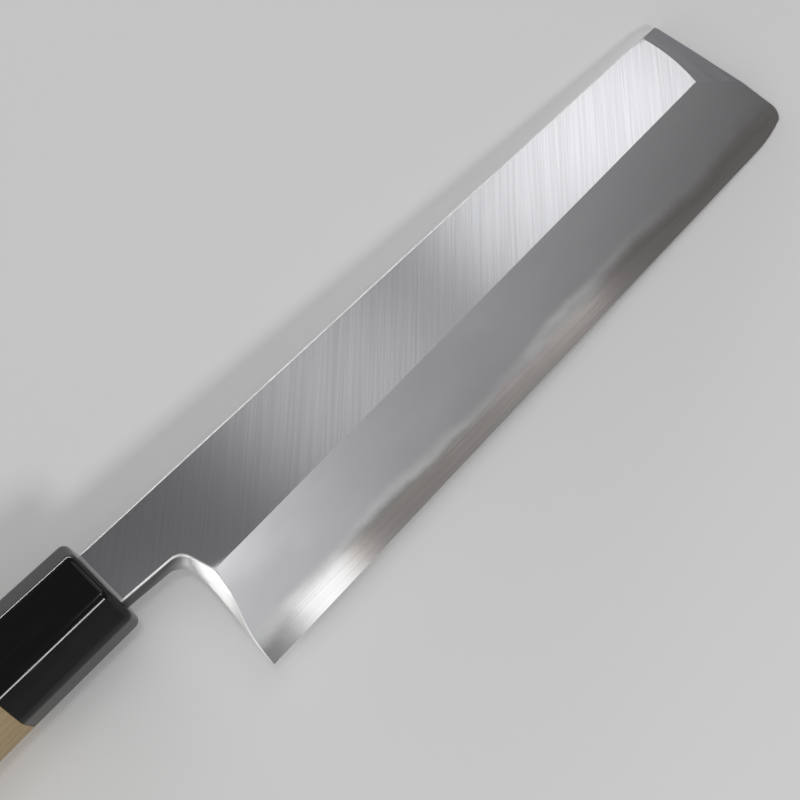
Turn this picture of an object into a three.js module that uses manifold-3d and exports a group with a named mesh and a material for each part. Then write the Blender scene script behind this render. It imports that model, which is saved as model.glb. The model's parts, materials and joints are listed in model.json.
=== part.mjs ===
// Square-tipped usuba kitchen knife, in millimetres.
// A soft-iron blade body carries a hard-steel plate on its back, and its tang is driven into an
// octagonal wooden handle with a horn ferrule.
// The knife lies on a table with its bevel up: +X runs to the tip, +Y to the spine and +Z up.
// The origin is on the table, under the middle of the knife.

import * as THREE from 'three';
import { mergeVertices } from 'three/addons/utils/BufferGeometryUtils.js';
import Module from 'manifold-3d';

// Blade: lengths from the ferrule's front, heights down from the spine, thicknesses up from the back
const spineLength = 207.8;
const tipLean = 2.7; // how much further the tip end reaches at the edge than at the spine
const heelHeight = 47;
const edgeRise = 2; // how much the edge nears the spine's line from heel to tip
const neckThickness = 4.35;
const tipThickness = 3.2;
const edgeThickness = 0.05;
const bevelLineHeel = 24.1; // spine to bevel line, level with the ferrule
const bevelLineTip = 20;
const edgeLift = 1.7; // rise of the edge where it nears the tip
const edgeLiftLength = 13;
const cornerRadius = 5; // rounded corner between edge and tip end

// Facet that thins the blade towards the tip end
const tipFacetAtSpine = 6.5;
const tipFacetAtBevel = 8.3;
const tipFacetBow = 1.1; // bulge of its border with the blade's flat
const tipEndThickness = 2.45;

// Neck, finger notch and choil: the back edge of this wall, then its front edge, which is set back
const neckFlare = 0.8; // growth of the neck from the ferrule to the notch
const choilDrop = 24; // spine to the foot of the notch wall's upper stretch
const backNeckHeight = 15.1;
const backNotchStart = 10.3;
const backNotchRadius = 4.6;
const backChoil = 14.9;
const backHeel = 13.3;
const frontNeckHeight = 14.3;
const frontNotchStart = 13.2;
const frontNotchRadius = 3.5;
const frontChoil = 18.4;
const frontHeel = 15.8;

// Hard-steel plate and the hollow ground into its back
const plateThickness = 1;
const plateStart = 12; // ferrule to the end of the plate
const weldGap = 0.05;
const hollowDepth = 0.45;
const hollowSpineRim = 4;
const hollowEdgeRim = 2.5;
const hollowHeelRim = 8;
const hollowTipRim = 9;
const hollowBluntness = 4; // power of its rounded outline: 2 is an ellipse, more is squarer
const hollowEndShare = 0.998; // where its first and last sections lie, short of the outline's very ends

// Tang
const neckInset = 4; // how far the neck enters the ferrule
const tangLength = 98; // from the ferrule's front
const tangHeight = 10;
const tangEndHeight = 5;
const tangThickness = 3.8;
const tangEndThickness = 2.4;

// Handle and ferrule: an octagon that grows from the ferrule's front to the butt
const handleLength = 142; // with the ferrule
const ferruleLength = 30;
const handleDrop = 7.45; // spine to the handle's axis
const frontHeight = 23.1;
const frontWidth = 20.4;
const buttHeight = 25.7;
const buttWidth = 22.7;
const sideFacet = 11.6; // the facets parallel to the blade, at the ferrule's front
const topFacet = 8.3; // the facets above and below them
const ferruleRim = 1.8; // rounding of the ferrule's front
const buttChamfer = 1.2;
const ferruleWall = 6; // front wall of the ferrule, which the neck passes through
const tenonRadius = 7.5;
const fitClearance = 0.3; // neck, tang and tenon in their holes
const glueGap = 0.2; // ferrule to wood

// Steps along curved stretches
const bevelSteps = 16;
const liftSteps = 8;
const arcSteps = 6;
const bowSteps = 8;
const hollowSteps = 24;
const hollowArcSteps = 8;
const rimSteps = 4;
const boreSides = 32;
const overcut = 2; // how far a cutting shape stands past what it cuts

const { lerp } = THREE.MathUtils;
const wasm = await Module();
wasm.setup();

// Shapes of the blade along its length
const bladeReach = spineLength + tipLean + overcut;
const bladeDepth = heelHeight + overcut;
const tipHeight = heelHeight - edgeRise;
const edgeLiftStart = spineLength - edgeLiftLength;
const handleAxisY = -handleDrop;
const handleAxisZ = neckThickness / 2;

function thicknessAt(x) {
  return lerp(neckThickness, tipThickness, x / spineLength);
}

function bevelLineAt(x) {
  return -lerp(bevelLineHeel, bevelLineTip, x / spineLength);
}

function edgeAt(x) {
  const straight = -lerp(heelHeight, tipHeight, (x - backHeel) / (spineLength - backHeel));
  const lift = Math.max(0, x - edgeLiftStart) / edgeLiftLength;
  return straight + edgeLift * lift ** 2;
}

function tipEndAt(y) {
  return spineLength - (tipLean * y) / tipHeight;
}

// A closed body through a row of rings. Each ring runs anticlockwise as seen from the last ring's side.
function loft(rings, flatten) {
  const count = rings[0].length;
  const last = (rings.length - 1) * count;
  const index = [];
  for (const [a, b, c] of THREE.ShapeUtils.triangulateShape(rings[0].map(flatten), [])) {
    index.push(c, b, a);
  }
  for (const [a, b, c] of THREE.ShapeUtils.triangulateShape(rings.at(-1).map(flatten), [])) {
    index.push(last + a, last + b, last + c);
  }
  for (let ring = 0; ring < rings.length - 1; ring += 1) {
    for (let i = 0; i < count; i += 1) {
      const a = ring * count + i;
      const b = ring * count + ((i + 1) % count);
      index.push(a, b, b + count, a, b + count, a + count);
    }
  }
  const geometry = new THREE.BufferGeometry().setFromPoints(rings.flat());
  geometry.setIndex(index);
  return geometry;
}

const acrossLength = (point) => new THREE.Vector2(point.y, point.z);
const acrossHeight = (point) => new THREE.Vector2(point.z, point.x);
const acrossThickness = (point) => new THREE.Vector2(point.x, point.y);

function ringAt(x, points) {
  return points.map(([y, z]) => new THREE.Vector3(x, y, z));
}

// Solids for joining and cutting, and back to geometry
function solid(geometry) {
  geometry.deleteAttribute('normal');
  geometry.deleteAttribute('uv');
  const merged = mergeVertices(geometry);
  const vertProperties = new Float32Array(merged.attributes.position.array);
  const triVerts = new Uint32Array(merged.index.array);
  return new wasm.Manifold(new wasm.Mesh({ numProp: 3, vertProperties, triVerts }));
}

function geometryOf(body) {
  const mesh = body.getMesh();
  const geometry = new THREE.BufferGeometry();
  geometry.setAttribute('position', new THREE.BufferAttribute(mesh.vertProperties, 3));
  geometry.setIndex(new THREE.BufferAttribute(mesh.triVerts, 1));
  geometry.computeVertexNormals();
  return geometry;
}

function boxBetween(low, high) {
  const size = new THREE.Vector3().subVectors(high, low);
  const centre = new THREE.Vector3().addVectors(low, high).divideScalar(2);
  return solid(new THREE.BoxGeometry(size.x, size.y, size.z).translate(centre.x, centre.y, centre.z));
}

// Blade blank: the ground cross-section, carried from inside the ferrule past the tip
function bladeBlank() {
  const places = [];
  for (let i = 0; i < bevelSteps; i += 1) {
    places.push(lerp(-neckInset, edgeLiftStart, i / bevelSteps));
  }
  for (let i = 0; i <= liftSteps; i += 1) {
    places.push(lerp(edgeLiftStart, bladeReach, i / liftSteps));
  }
  const rings = places.map((x) => {
    const edge = edgeAt(x);
    const front = thicknessAt(x);
    return ringAt(x, [
      [edge, 0],
      [0, 0],
      [0, front],
      [bevelLineAt(x), front],
      [edge, edgeThickness],
    ]);
  });
  return solid(loft(rings, acrossLength));
}

// Outline of the blade on one face: neck, notch, choil, heel, rounded tip corner and leaning tip end
function bladeOutline(neckHeight, notchStart, notchRadius, choil, heel) {
  const notch = new THREE.Vector2(notchStart, -neckHeight - neckFlare - notchRadius);
  const choilFoot = new THREE.Vector2(choil, -choilDrop);
  const toFoot = choilFoot.clone().sub(notch);
  const notchEnd = toFoot.angle() - 2 * Math.PI + Math.acos(notchRadius / toFoot.length());
  const heelSlope = (heel - choil) / (heelHeight - choilDrop);
  const cornerX = tipEndAt(-tipHeight + cornerRadius) - cornerRadius;
  const cornerY = edgeAt(cornerX) + cornerRadius - edgeThickness;
  const outline = new THREE.Path();
  outline.moveTo(-neckInset, overcut);
  outline.lineTo(-neckInset, -neckHeight);
  outline.lineTo(0, -neckHeight);
  outline.absarc(notch.x, notch.y, notchRadius, Math.PI / 2, notchEnd, true);
  outline.lineTo(choilFoot.x, choilFoot.y);
  outline.lineTo(heel + heelSlope * overcut, -bladeDepth);
  outline.lineTo(cornerX, -bladeDepth);
  outline.absarc(cornerX, cornerY, cornerRadius, -Math.PI / 2, Math.atan2(tipLean, tipHeight), false);
  outline.lineTo(tipEndAt(overcut), overcut);
  return outline.getPoints(arcSteps);
}

// The outline's walls, which slant between the back face and the front face at the notch and choil
function outlineBlock() {
  const back = bladeOutline(backNeckHeight, backNotchStart, backNotchRadius, backChoil, backHeel);
  const front = bladeOutline(frontNeckHeight, frontNotchStart, frontNotchRadius, frontChoil, frontHeel);
  const rings = [-overcut, neckThickness + overcut].map((z) =>
    back.map((point, i) => {
      const { x, y } = point.clone().lerp(front[i], z / neckThickness);
      return new THREE.Vector3(x, y, z);
    }),
  );
  return solid(loft(rings, acrossThickness));
}

// Everything above the tip facet, whose border with the flat bows out between spine and bevel line
function tipFacetCutter() {
  const spineX = spineLength - tipFacetAtSpine;
  const bevelX = spineLength - tipFacetAtBevel;
  const bevelY = bevelLineAt(bevelX);
  const slope = (thicknessAt(spineX) - tipEndThickness) / tipFacetAtSpine;
  const top = neckThickness + overcut;
  const heightAt = (x, share) => {
    const bow = Math.max(0, 4 * tipFacetBow * share * (1 - share));
    const start = lerp(spineX, bevelX, share) + bow;
    return thicknessAt(start) - slope * (x - start);
  };
  const shares = [-bladeDepth / bevelY];
  for (let i = 0; i <= bowSteps; i += 1) {
    shares.push(1 - i / bowSteps);
  }
  shares.push(overcut / bevelY);
  const nearX = bevelX - tipFacetBow - overcut;
  const rings = shares.map((share) => [
    new THREE.Vector3(nearX, share * bevelY, heightAt(nearX, share)),
    new THREE.Vector3(nearX, share * bevelY, top),
    new THREE.Vector3(bladeReach, share * bevelY, top),
    new THREE.Vector3(bladeReach, share * bevelY, heightAt(bladeReach, share)),
  ]);
  return solid(loft(rings, acrossHeight));
}

// Shallow dished hollow in the plate's back, with a flat rim all round
function backHollow() {
  const start = frontChoil + hollowHeelRim;
  const end = spineLength - hollowTipRim;
  const rings = [];
  for (let i = 0; i <= hollowSteps; i += 1) {
    const share = -hollowEndShare * Math.cos((Math.PI * i) / hollowSteps);
    const x = lerp(start, end, (1 + share) / 2);
    const fullness = (1 - share ** hollowBluntness) ** (1 / hollowBluntness);
    const spineSide = -hollowSpineRim;
    const edgeSide = edgeAt(x) + hollowEdgeRim;
    const middle = (spineSide + edgeSide) / 2;
    const half = (fullness * (spineSide - edgeSide)) / 2;
    const points = [
      [middle - half, -overcut],
      [middle + half, -overcut],
    ];
    for (let k = 0; k <= hollowArcSteps; k += 1) {
      const across = 1 - (2 * k) / hollowArcSteps;
      points.push([middle + half * across, hollowDepth * fullness ** 2 * (1 - across ** 2)]);
    }
    rings.push(ringAt(x, points));
  }
  return solid(loft(rings, acrossLength));
}

// The tang, or with some clearance the slot that takes it
function tang(clearance) {
  const taperRing = (x, height, thickness) => {
    const halfHeight = height / 2 + clearance;
    const halfThickness = thickness / 2 + clearance;
    return ringAt(x, [
      [handleAxisY - halfHeight, handleAxisZ - halfThickness],
      [handleAxisY + halfHeight, handleAxisZ - halfThickness],
      [handleAxisY + halfHeight, handleAxisZ + halfThickness],
      [handleAxisY - halfHeight, handleAxisZ + halfThickness],
    ]);
  };
  const end = taperRing(-tangLength - clearance, tangEndHeight, tangEndThickness);
  const root = taperRing(-neckInset + overcut, tangHeight, tangThickness);
  return solid(loft([end, root], acrossLength));
}

// Octagonal section of the ferrule and handle, drawn in by an inset at rounded or chamfered ends
function octagonRing(x, inset) {
  const heightShare = lerp(1, buttHeight / frontHeight, -x / handleLength);
  const widthShare = lerp(1, buttWidth / frontWidth, -x / handleLength);
  const facetInset = inset * Math.tan(Math.PI / 8);
  const halfHeight = (frontHeight * heightShare) / 2 - inset;
  const halfSide = (sideFacet * heightShare) / 2 - facetInset;
  const halfWidth = (frontWidth * widthShare) / 2 - inset;
  const halfTop = (topFacet * widthShare) / 2 - facetInset;
  const corners = [
    [halfHeight, -halfTop],
    [halfHeight, halfTop],
    [halfSide, halfWidth],
    [-halfSide, halfWidth],
    [-halfHeight, halfTop],
    [-halfHeight, -halfTop],
    [-halfSide, -halfWidth],
    [halfSide, -halfWidth],
  ];
  return ringAt(x, corners.map(([y, z]) => [handleAxisY + y, handleAxisZ + z]));
}

// Round bar on the handle's axis
function roundBar(radius, fromX, toX) {
  const bar = new THREE.CylinderGeometry(radius, radius, toX - fromX, boreSides);
  return solid(bar.rotateZ(-Math.PI / 2).translate((fromX + toX) / 2, handleAxisY, handleAxisZ));
}

function ferrule() {
  const rings = [octagonRing(-ferruleLength, 0)];
  for (let i = 0; i <= rimSteps; i += 1) {
    const turn = (Math.PI / 2) * (i / rimSteps);
    rings.push(octagonRing(-ferruleRim * (1 - Math.sin(turn)), ferruleRim * (1 - Math.cos(turn))));
  }
  const bore = roundBar(tenonRadius + fitClearance, -ferruleLength - overcut, -ferruleWall);
  const slotLow = new THREE.Vector3(-ferruleWall - overcut, -backNeckHeight - fitClearance, -fitClearance);
  const slotHigh = new THREE.Vector3(overcut, fitClearance, thicknessAt(-neckInset) + fitClearance);
  return solid(loft(rings, acrossLength)).subtract(bore).subtract(boxBetween(slotLow, slotHigh));
}

function handle() {
  const rings = [
    octagonRing(-handleLength, buttChamfer),
    octagonRing(-handleLength + buttChamfer, 0),
    octagonRing(-ferruleLength - glueGap, 0),
  ];
  const tenon = roundBar(tenonRadius, -ferruleLength - overcut, -ferruleWall - fitClearance);
  return solid(loft(rings, acrossLength)).add(tenon).subtract(tang(fitClearance));
}

// Blade, split into the iron body and the steel plate welded to its back
const blade = bladeBlank().intersect(outlineBlock()).subtract(tipFacetCutter());
const plateHigh = new THREE.Vector3(bladeReach, overcut, plateThickness);
const plateLow = new THREE.Vector3(plateStart, -bladeDepth, -overcut);
const plateBed = boxBetween(plateLow.clone().subScalar(weldGap), plateHigh.clone().addScalar(weldGap));
const bladeBody = blade.subtract(plateBed).add(tang(0));
const edgePlate = blade.intersect(boxBetween(plateLow, plateHigh)).subtract(backHollow());

function piece(name, body, color, roughness, metalness) {
  const material = new THREE.MeshStandardMaterial({ color, roughness, metalness });
  const mesh = new THREE.Mesh(geometryOf(body), material);
  mesh.name = name;
  return mesh;
}

const knife = new THREE.Group();
knife.add(piece('blade_body', bladeBody, 0xa9abb0, 0.4, 1));
knife.add(piece('edge_steel', edgePlate, 0xc4c2bf, 0.25, 1));
knife.add(piece('horn_ferrule', ferrule(), 0x0d0c0d, 0.25, 0));
knife.add(piece('wood_handle', handle(), 0xd8c09a, 0.65, 0));

// Lay the knife down: it rests on the ferrule's lower facet, behind the rim, and on the tip's back edge
const ferruleFoot = octagonRing(-ferruleRim, 0).at(-1);
knife.rotation.y = Math.atan2(-ferruleFoot.z, tipEndAt(-tipHeight) - ferruleFoot.x);
const reach = new THREE.Box3().setFromObject(knife, true);
const middle = reach.getCenter(new THREE.Vector3());
knife.position.set(-middle.x, -middle.y, -reach.min.z);

const model = new THREE.Group();
model.add(knife);

export default model;
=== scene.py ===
import json
import math

import bmesh
import bpy
from mathutils import Matrix, Vector
from mathutils.geometry import delaunay_2d_cdt


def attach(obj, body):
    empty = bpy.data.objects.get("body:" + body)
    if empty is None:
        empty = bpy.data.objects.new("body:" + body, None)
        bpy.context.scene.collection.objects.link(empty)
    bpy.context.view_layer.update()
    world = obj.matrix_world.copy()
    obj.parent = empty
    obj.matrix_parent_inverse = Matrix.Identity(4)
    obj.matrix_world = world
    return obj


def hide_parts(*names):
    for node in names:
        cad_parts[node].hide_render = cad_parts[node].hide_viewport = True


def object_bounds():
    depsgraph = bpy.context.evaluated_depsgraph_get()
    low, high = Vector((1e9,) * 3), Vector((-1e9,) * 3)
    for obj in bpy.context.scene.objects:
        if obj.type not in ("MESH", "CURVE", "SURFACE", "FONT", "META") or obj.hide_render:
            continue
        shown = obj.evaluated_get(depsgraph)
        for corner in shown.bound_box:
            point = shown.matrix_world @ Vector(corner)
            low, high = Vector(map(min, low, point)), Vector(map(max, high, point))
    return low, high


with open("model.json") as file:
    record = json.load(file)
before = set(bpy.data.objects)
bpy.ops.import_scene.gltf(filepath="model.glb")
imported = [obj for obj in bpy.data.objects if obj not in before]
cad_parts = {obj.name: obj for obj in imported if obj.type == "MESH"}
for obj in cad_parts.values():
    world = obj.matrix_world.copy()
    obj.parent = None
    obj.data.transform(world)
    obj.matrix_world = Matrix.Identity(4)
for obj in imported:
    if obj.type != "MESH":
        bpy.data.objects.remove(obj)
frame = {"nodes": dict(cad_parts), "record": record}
cadLow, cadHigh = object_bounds()
print("frame loaded:", ", ".join(sorted(frame["nodes"])))

# Every piece is drawn in millimetres on the knife itself and then laid down with the CAD part:
# x runs from the ferrule's front to the tip, y up to the spine at 0, z up from the blade's back at 0
placing = {
    "mount": "blade_back",  # the record's mount that says how the knife lies
    "mountSpot": (100.0, -2.0, 0.0),  # that mount's place on the knife
    "metresPerUnit": 0.001,
}

mount = next(m for m in frame["record"]["mounts"] if m["name"] == placing["mount"])
lean = math.atan2(-mount["axis"][0], -mount["axis"][2])
knifeToFrame = (
    Matrix.Translation(mount["pos_m"])
    @ Matrix.Rotation(lean, 4, "Y")
    @ Matrix.Scale(placing["metresPerUnit"], 4)
    @ Matrix.Translation([-value for value in placing["mountSpot"]])
)

noiseRange = (0.3, 0.7)  # most of a noise lies between these
noiseMiddle = 0.5


# Node helpers
def addNode(tree, kind, values=None, **settings):
    node = tree.nodes.new(kind)
    for name, setting in settings.items():
        setattr(node, name, setting)
    for key, value in (values or {}).items():
        if isinstance(value, bpy.types.NodeSocket):
            tree.links.new(value, node.inputs[key])
        else:
            node.inputs[key].default_value = value
    return node


def calc(tree, operation, first, second=0.0, third=0.0):
    values = {0: first, 1: second, 2: third}
    return addNode(tree, "ShaderNodeMath", values, operation=operation).outputs[0]


def knifePlace(tree):
    # millimetres on the knife, whatever the place of the piece in the frame
    back = knifeToFrame.inverted()
    coordinates = addNode(tree, "ShaderNodeTexCoord")
    values = {
        "Vector": coordinates.outputs["Object"],
        "Location": back.to_translation(),
        "Rotation": back.to_euler(),
        "Scale": back.to_scale(),
    }
    return addNode(tree, "ShaderNodeMapping", values).outputs["Vector"]


def splitPlace(tree, place):
    return addNode(tree, "ShaderNodeSeparateXYZ", {0: place}).outputs


def pattern(tree, place, scale, turn=0.0, detail=3.0, rough=0.5):
    # a noise with its own scale along x, y and z, turned about z: unequal scales draw it out into strokes
    values = {"Vector": place, "Angle": turn}
    turned = addNode(tree, "ShaderNodeVectorRotate", values, rotation_type="Z_AXIS").outputs[0]
    drawn = addNode(tree, "ShaderNodeVectorMath", {0: turned, 1: scale}, operation="MULTIPLY").outputs[0]
    values = {"Vector": drawn, "Scale": 1.0, "Detail": detail, "Roughness": rough}
    return addNode(tree, "ShaderNodeTexNoise", values).outputs["Fac"]


def spread(tree, value, fromLow, fromHigh, toLow, toHigh, easing="LINEAR"):
    values = {"Value": value, "From Min": fromLow, "From Max": fromHigh, "To Min": toLow, "To Max": toHigh}
    return addNode(tree, "ShaderNodeMapRange", values, interpolation_type=easing).outputs["Result"]


def fadeAt(tree, value, middle, half):
    # 1 below the middle and 0 above it, softened over half a width on each side
    start = calc(tree, "SUBTRACT", middle, half)
    end = calc(tree, "ADD", middle, half)
    return spread(tree, value, start, end, 1, 0, "SMOOTHSTEP")


def blendColours(tree, share, first, second):
    # a Mix node keeps its two colours in sockets 6 and 7 and gives the blend in output 2
    values = {0: share, 6: first, 7: second}
    return addNode(tree, "ShaderNodeMix", values, data_type="RGBA").outputs[2]


def blendValues(tree, share, first, second):
    # a Mix node keeps its two numbers in sockets 2 and 3
    return addNode(tree, "ShaderNodeMix", {0: share, 2: first, 3: second}).outputs[0]


def curveOf(tree, value, points):
    # a new curve has two points already
    node = addNode(tree, "ShaderNodeFloatCurve", {"Value": value})
    curve = node.mapping.curves[0]
    for spot in points[2:]:
        curve.points.new(*spot)
    for point, spot in zip(curve.points, sorted(points)):
        point.location = spot
    node.mapping.update()
    return node.outputs[0]


def newMaterial(name, **sockets):
    material = bpy.data.materials.new(name)
    material.use_nodes = True
    tree = material.node_tree
    shader = tree.nodes["Principled BSDF"]
    for socket, value in sockets.items():
        shader.inputs[socket].default_value = value
    return material, tree, shader


def dress(tree, shader, colour, rough, height, bump):
    values = {"Height": height, "Strength": bump["strength"], "Distance": bump["depth"]}
    bumped = addNode(tree, "ShaderNodeBump", values).outputs["Normal"]
    tree.links.new(colour, shader.inputs["Base Color"])
    tree.links.new(rough, shader.inputs["Roughness"])
    tree.links.new(bumped, shader.inputs["Normal"])


def grey(level, red=0.0, blue=0.0):
    return (level * (1 + red), level, level * (1 + blue), 1)


# Mesh helpers
meshing = {
    "sharpAngle": 32,  # degrees; edges that turn more are drawn sharp
    "fitTurns": 40,  # rounds of trying until two faces meet
    "sameSpot": 0.001,  # points nearer than this count as one, in millimetres
    "mergeDistance": 0.0002,
    "cutDistance": 0.00001,
    "planDistance": 0.000001,
}


def mix(low, high, share):
    return low + (high - low) * share


def eased(share):
    # a soft start and end
    share = min(1, max(0, share))
    return share * share * (3 - 2 * share)


def spaced(low, high, steps):
    # even steps after low, up to high itself
    return [mix(low, high, i / steps) for i in range(1, steps)] + [high]


def roundOver(start, corner, end, steps):
    shares = [i / steps for i in range(steps + 1)]
    return [start.lerp(corner, s).lerp(corner.lerp(end, s), s) for s in shares]


def skin(bm, rings, closed=True):
    # quads between rows of points; returns the rows of vertices
    rows = [[bm.verts.new(point) for point in ring] for ring in rings]
    count = len(rows[0])
    for low, high in zip(rows, rows[1:]):
        for i in range(count if closed else count - 1):
            k = (i + 1) % count
            bm.faces.new((low[i], low[k], high[k], high[i]))
    return rows


def loopEdges(bm, row):
    found = []
    for i, vert in enumerate(row):
        pair = (vert, row[(i + 1) % len(row)])
        found.append(bm.edges.get(pair) or bm.edges.new(pair))
    return found


def openEdges(bm):
    return [edge for edge in bm.edges if edge.is_boundary]


def fillBetween(bm, outer, inner):
    edges = loopEdges(bm, outer) + loopEdges(bm, inner)
    bmesh.ops.triangle_fill(bm, edges=edges, use_beauty=True)


def makePiece(bm, name, node, materials):
    sharpAngle = math.radians(meshing["sharpAngle"])
    bmesh.ops.recalc_face_normals(bm, faces=bm.faces)
    for face in bm.faces:
        face.smooth = True
    for edge in bm.edges:
        if edge.calc_face_angle(math.pi) > sharpAngle:
            edge.smooth = False
    bm.transform(knifeToFrame)
    mesh = bpy.data.meshes.new(name)
    bm.to_mesh(mesh)
    bm.free()
    for material in materials:
        mesh.materials.append(material)
    piece = bpy.data.objects.new(name, mesh)
    bpy.context.scene.collection.objects.link(piece)
    shading = piece.modifiers.new("evenShading", "WEIGHTED_NORMAL")
    shading.keep_sharp = True
    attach(piece, "root")
    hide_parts(node)
    print(name, "made with", len(mesh.polygons), "faces")


# Blade: both steels are ground as one body and then parted at the weld
blade = {
    "spineLength": 207.8,
    "tipLean": 2.7,  # the tip end reaches further at the edge
    "heelHeight": 47.0,
    "tipHeight": 45.0,
    "neckThickness": 4.35,
    "tipThickness": 3.2,
    "edgeThickness": 0.05,
    "bevelLineHeel": 24.1,
    "bevelLineTip": 20.0,
    "edgeLift": 1.7,
    "edgeLiftLength": 13.0,
    "cornerRadius": 5.0,
    "facetAtSpine": 6.5,  # the facet that thins the tip
    "facetAtBevel": 8.3,
    "facetBow": 1.1,
    "facetEndThickness": 2.45,
    "neckInset": 4.0,
    "neckFlare": 0.8,
    "choilDrop": 24.0,
    # outline of each face round the notch; the choil leans in between two shares of its length
    "backNotch": {
        "neck": 15.1, "start": 10.3, "radius": 4.6, "choil": 14.9, "heel": 13.3, "lean": (0, 1),
    },
    "frontNotch": {
        "neck": 14.3, "start": 13.2, "radius": 3.5, "choil": 18.4, "heel": 13.6, "lean": (0.2, 0.9),
    },
    "choilBelly": [(0.3, 0.08), (0.5, 0.33), (0.75, 0.66)],  # from back to front: shares of height and lean
    "spineRound": 0.3,  # how much the edges are broken
    "choilRound": 0.32,
    "tipRound": 0.15,
    "leastRound": 0.01,
    "roundShare": 0.3,  # of a low wall, at most
    "tipCornerRound": 0.9,
    "mitreLimit": 0.4,  # keeps sharp corners of the outline from reaching too far
    "plateThickness": 1.0,  # hard steel on the back
    "plateStart": 12.0,
    "hollowDepth": 0.45,
    "hollowSpineRim": 4.0,
    "hollowEdgeRim": 2.5,
    "hollowHeelRim": 8.0,
    "hollowTipRim": 9.0,
    "hollowBluntness": 4,
    "hollowRings": (1, 0.9, 0.75, 0.55, 0.3),  # sizes of the rings that it is drawn with
    "tangLength": 98.0,
    "tangHeight": 10.0,
    "tangEndHeight": 5.0,
    "tangThickness": 3.8,
    "tangEndThickness": 2.4,
    "handleDrop": 7.45,  # spine to the handle's axis
    # points on the bevel near the tip, where its curve needs them
    "bevelSpotsBefore": 8.0,  # where they begin, before the edge lifts
    "bevelSpotsShort": 1.2,  # and end, short of the tip
    "bevelSpotShares": (0.3, 0.5, 0.7, 0.86),  # from the bevel line to the edge
    "bevelSpotMargin": 0.8,
}
# how finely each stretch of the blade is drawn
bladeSteps = {
    "rounding": 4,
    "neck": 4,
    "notch": 16,
    "notchFoot": 4,
    "choil": 18,
    "edge": 24,
    "edgeLift": 8,
    "corner": 18,
    "tipBelowFacet": 5,
    "tipFacet": 8,
    "spineCorner": 4,
    "facetSpine": 3,
    "spine": 30,
    "bevelLine": 24,
    "facetTop": 10,
    "facetFoot": 6,
    "bevelSpots": 9,
    "hollow": 96,
}
# faces with a finish of their own
regionFlat, regionBevel, regionFacet, regionWall, regionBack = range(5)
axisY = -blade["handleDrop"]
axisZ = blade["neckThickness"] / 2
liftX = blade["spineLength"] - blade["edgeLiftLength"]


def thicknessAt(x):
    return mix(blade["neckThickness"], blade["tipThickness"], x / blade["spineLength"])


def bevelLineAt(x):
    return -mix(blade["bevelLineHeel"], blade["bevelLineTip"], x / blade["spineLength"])


def edgeAt(x):
    heelX = blade["backNotch"]["heel"]
    share = (x - heelX) / (blade["spineLength"] - heelX)
    lifted = max(0, x - liftX) / blade["edgeLiftLength"]
    return -mix(blade["heelHeight"], blade["tipHeight"], share) + blade["edgeLift"] * lifted**2


def tipEndAt(y):
    return blade["spineLength"] - blade["tipLean"] * y / blade["tipHeight"]


facetSpineX = blade["spineLength"] - blade["facetAtSpine"]
facetBevelX = blade["spineLength"] - blade["facetAtBevel"]
facetBevelY = bevelLineAt(facetBevelX)
facetSlope = (thicknessAt(facetSpineX) - blade["facetEndThickness"]) / blade["facetAtSpine"]
hollowStart = blade["frontNotch"]["choil"] + blade["hollowHeelRim"]
hollowEnd = blade["spineLength"] - blade["hollowTipRim"]


def facetStartAt(share):
    # share of the way from the spine to the bevel line; the bow is a parabola, fullest halfway
    bow = max(0, 4 * blade["facetBow"] * share * (1 - share))
    return mix(facetSpineX, facetBevelX, share) + bow


def frontHeights(x, y):
    # heights of the flat, the bevel and the tip facet over one spot: the lowest is the surface
    flat = thicknessAt(x)
    ridge = bevelLineAt(x)
    bevel = mix(flat, blade["edgeThickness"], (y - ridge) / (edgeAt(x) - ridge))
    start = facetStartAt(y / facetBevelY)
    facet = thicknessAt(start) - facetSlope * (x - start)
    return flat, bevel, facet


def frontAt(x, y):
    return min(frontHeights(x, y))


def frontRegion(x, y):
    heights = frontHeights(x, y)
    return heights.index(min(heights))


def facetBevelXAt(y):
    # where the tip facet meets the bevel
    x = facetBevelX
    start = facetStartAt(y / facetBevelY)
    for turn in range(meshing["fitTurns"]):
        x = start + (thicknessAt(start) - frontHeights(x, y)[regionBevel]) / facetSlope
    return x


def facetEndY():
    # where that line runs out at the tip end
    high = facetBevelY
    low = -blade["tipHeight"] + blade["cornerRadius"]
    for turn in range(meshing["fitTurns"]):
        middle = (high + low) / 2
        if facetBevelXAt(middle) < tipEndAt(middle):
            high = middle
        else:
            low = middle
    return high


def notchLine(side, ridgeY):
    # one face's outline from inside the ferrule round the notch and down the choil
    centre = Vector((side["start"], -side["neck"] - blade["neckFlare"] - side["radius"]))
    foot = Vector((side["choil"], -blade["choilDrop"]))
    heel = Vector((side["heel"], -blade["heelHeight"]))
    toFoot = foot - centre
    turnEnd = math.atan2(toFoot.y, toFoot.x) + math.acos(side["radius"] / toFoot.length)
    neckStart = Vector((0, -side["neck"]))
    turnStart = centre + Vector((0, side["radius"]))
    line = [Vector((-blade["neckInset"], -side["neck"])), neckStart]
    line += [neckStart.lerp(turnStart, share) for share in spaced(0, 1, bladeSteps["neck"])]
    for angle in spaced(math.pi / 2, turnEnd, bladeSteps["notch"]):
        line.append(centre + side["radius"] * Vector((math.cos(angle), math.sin(angle))))
    upper = line[-1]
    for y in spaced(upper.y, ridgeY, bladeSteps["notchFoot"]):
        line.append(upper.lerp(foot, (y - upper.y) / (foot.y - upper.y)))
    leanStart, leanEnd = side["lean"]
    for y in spaced(ridgeY, heel.y, bladeSteps["choil"]):
        down = (y - foot.y) / (heel.y - foot.y)
        share = eased((down - leanStart) / (leanEnd - leanStart))
        line.append(Vector((mix(foot.x, heel.x, share), y)))
    return line


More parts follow.
